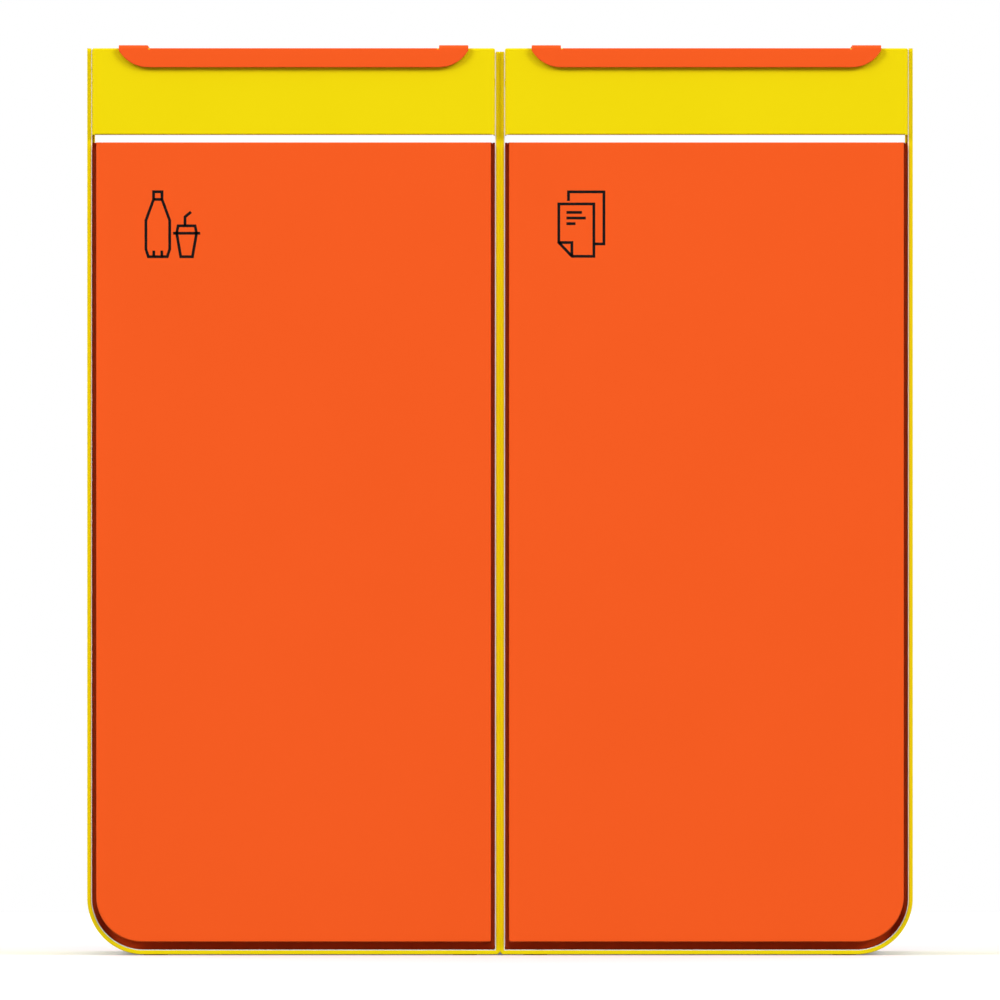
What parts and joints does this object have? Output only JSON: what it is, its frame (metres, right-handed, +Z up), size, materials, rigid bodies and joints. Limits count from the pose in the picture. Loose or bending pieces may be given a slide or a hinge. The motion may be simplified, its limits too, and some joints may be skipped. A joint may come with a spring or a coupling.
{
  "type": "double recycling bin",
  "caption": "Double recycling bin of folded sheet steel: two sleeves side by side with hoods, hinged top frames and pull-out containers.",
  "frame": {"origin": "on the floor, at the bottom centre of the bounding box", "axes": "+Z up, -Y towards the front panels, +X to the right as seen from the front"},
  "size_m": [0.82, 0.414, 0.9038],
  "materials": {
    "yellow_paint": "fine-textured powder coat",
    "orange_paint": "fine-textured powder coat",
    "zinc_steel": "bright zinc plating",
    "grey_rubber": "matt",
    "black_ink": "matt screen print",
    "pale_plastic": "smooth, slightly waxy"
  },
  "bodies": {
    "housing": {"front_lower_coupling_bolt": "zinc_steel", "front_upper_coupling_bolt": "zinc_steel", "left_edge_strip": "pale_plastic", "left_front_inner_foot_pad": "grey_rubber", "left_front_inner_hood_screw": "zinc_steel", "left_front_outer_foot_pad": "grey_rubber", "left_front_outer_hood_screw": "zinc_steel", "left_hinge_fixed_leaf": "zinc_steel", "left_hinge_pin": "zinc_steel", "left_hood": "yellow_paint", "left_inner_bumper": "grey_rubber", "left_inner_glide_strip": "pale_plastic", "left_outer_bumper": "grey_rubber", "left_outer_glide_strip": "pale_plastic", "left_rear_inner_foot_pad": "grey_rubber", "left_rear_inner_hood_screw": "zinc_steel", "left_rear_outer_foot_pad": "grey_rubber", "left_rear_outer_hood_screw": "zinc_steel", "left_rear_stop": "yellow_paint", "left_sleeve": "yellow_paint", "rear_lower_coupling_bolt": "zinc_steel", "rear_upper_coupling_bolt": "zinc_steel", "right_edge_strip": "pale_plastic", "right_front_inner_foot_pad": "grey_rubber", "right_front_inner_hood_screw": "zinc_steel", "right_front_outer_foot_pad": "grey_rubber", "right_front_outer_hood_screw": "zinc_steel", "right_hinge_fixed_leaf": "zinc_steel", "right_hinge_pin": "zinc_steel", "right_hood": "yellow_paint", "right_inner_bumper": "grey_rubber", "right_inner_glide_strip": "pale_plastic", "right_outer_bumper": "grey_rubber", "right_outer_glide_strip": "pale_plastic", "right_rear_inner_foot_pad": "grey_rubber", "right_rear_inner_hood_screw": "zinc_steel", "right_rear_outer_foot_pad": "grey_rubber", "right_rear_outer_hood_screw": "zinc_steel", "right_rear_stop": "yellow_paint", "right_sleeve": "yellow_paint"},
    "left_container": {"left_container_back_wall": "orange_paint", "left_container_front_wall": "orange_paint", "left_container_wrap": "orange_paint", "left_front_panel": "orange_paint", "left_grip_trough": "orange_paint", "left_lower_panel_screw": "zinc_steel", "left_upper_inner_panel_screw": "zinc_steel", "left_upper_outer_panel_screw": "zinc_steel"},
    "right_container": {"right_container_back_wall": "orange_paint", "right_container_front_wall": "orange_paint", "right_container_wrap": "orange_paint", "right_front_panel": "orange_paint", "right_grip_trough": "orange_paint", "right_lower_panel_screw": "zinc_steel", "right_upper_inner_panel_screw": "zinc_steel", "right_upper_outer_panel_screw": "zinc_steel"},
    "left_top_frame": {"left_hinge_moving_leaf": "zinc_steel", "left_top_frame": "orange_paint"},
    "right_top_frame": {"right_hinge_moving_leaf": "zinc_steel", "right_top_frame": "orange_paint"}
  },
  "joints": [
    {"name": "left_container_slide", "type": "slide", "parent": "housing", "child": "left_container", "axis": [0, -1, 0], "range_m": [0, 0.42]},
    {"name": "right_container_slide", "type": "slide", "parent": "housing", "child": "right_container", "axis": [0, -1, 0], "range_m": [0, 0.42]},
    {"name": "left_top_frame_hinge", "type": "hinge", "parent": "housing", "child": "left_top_frame", "pos_m": [-0.205, 0.2003, 0.8773], "axis": [-1, 0, 0], "range_deg": [0, 95]},
    {"name": "right_top_frame_hinge", "type": "hinge", "parent": "housing", "child": "right_top_frame", "pos_m": [0.205, 0.2003, 0.8773], "axis": [-1, 0, 0], "range_deg": [0, 95]}
  ]
}
